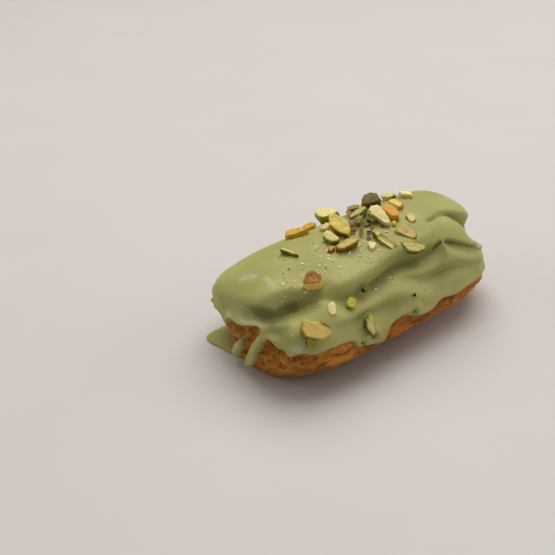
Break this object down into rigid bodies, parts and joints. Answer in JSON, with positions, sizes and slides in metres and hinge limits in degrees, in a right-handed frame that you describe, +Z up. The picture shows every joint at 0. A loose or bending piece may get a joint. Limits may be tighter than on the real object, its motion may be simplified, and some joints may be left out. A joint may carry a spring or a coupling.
{
  "type": "pistachio eclair",
  "caption": "Star-piped choux bun under a poured pistachio glaze with run-downs and a set foot, topped with chopped pistachio pieces.",
  "frame": {"origin": "middle of the base of the whole eclair's box, on the surface that it stands on", "axes": "+X along the eclair towards its star-ended right end, +Z up, -Y towards the side that the picture shows"},
  "size_m": [0.118, 0.0702, 0.0502],
  "materials": {
    "choux": "baked choux pastry, golden brown, dry and matte, with open crumb at the bare end",
    "glaze": "set pistachio glaze, soft sage green, satin sheen",
    "nut_kernel": "chopped pistachio kernel, pale green to amber, matte with darker skin"
  },
  "bodies": {
    "root": {"choux_bun": "choux", "pistachio_glaze": "glaze", "nut_slab": "nut_kernel", "nut_green": "nut_kernel", "nut_gold": "nut_kernel", "nut_cream": "nut_kernel", "nut_oval": "nut_kernel", "nut_dark": "nut_kernel", "nut_blade": "nut_kernel", "nut_amber": "nut_kernel", "nut_glassy": "nut_kernel", "nut_stick": "nut_kernel", "nut_pale": "nut_kernel", "nut_rim": "nut_kernel", "nut_cube": "nut_kernel", "nut_tan": "nut_kernel"}
  },
  "joints": []
}
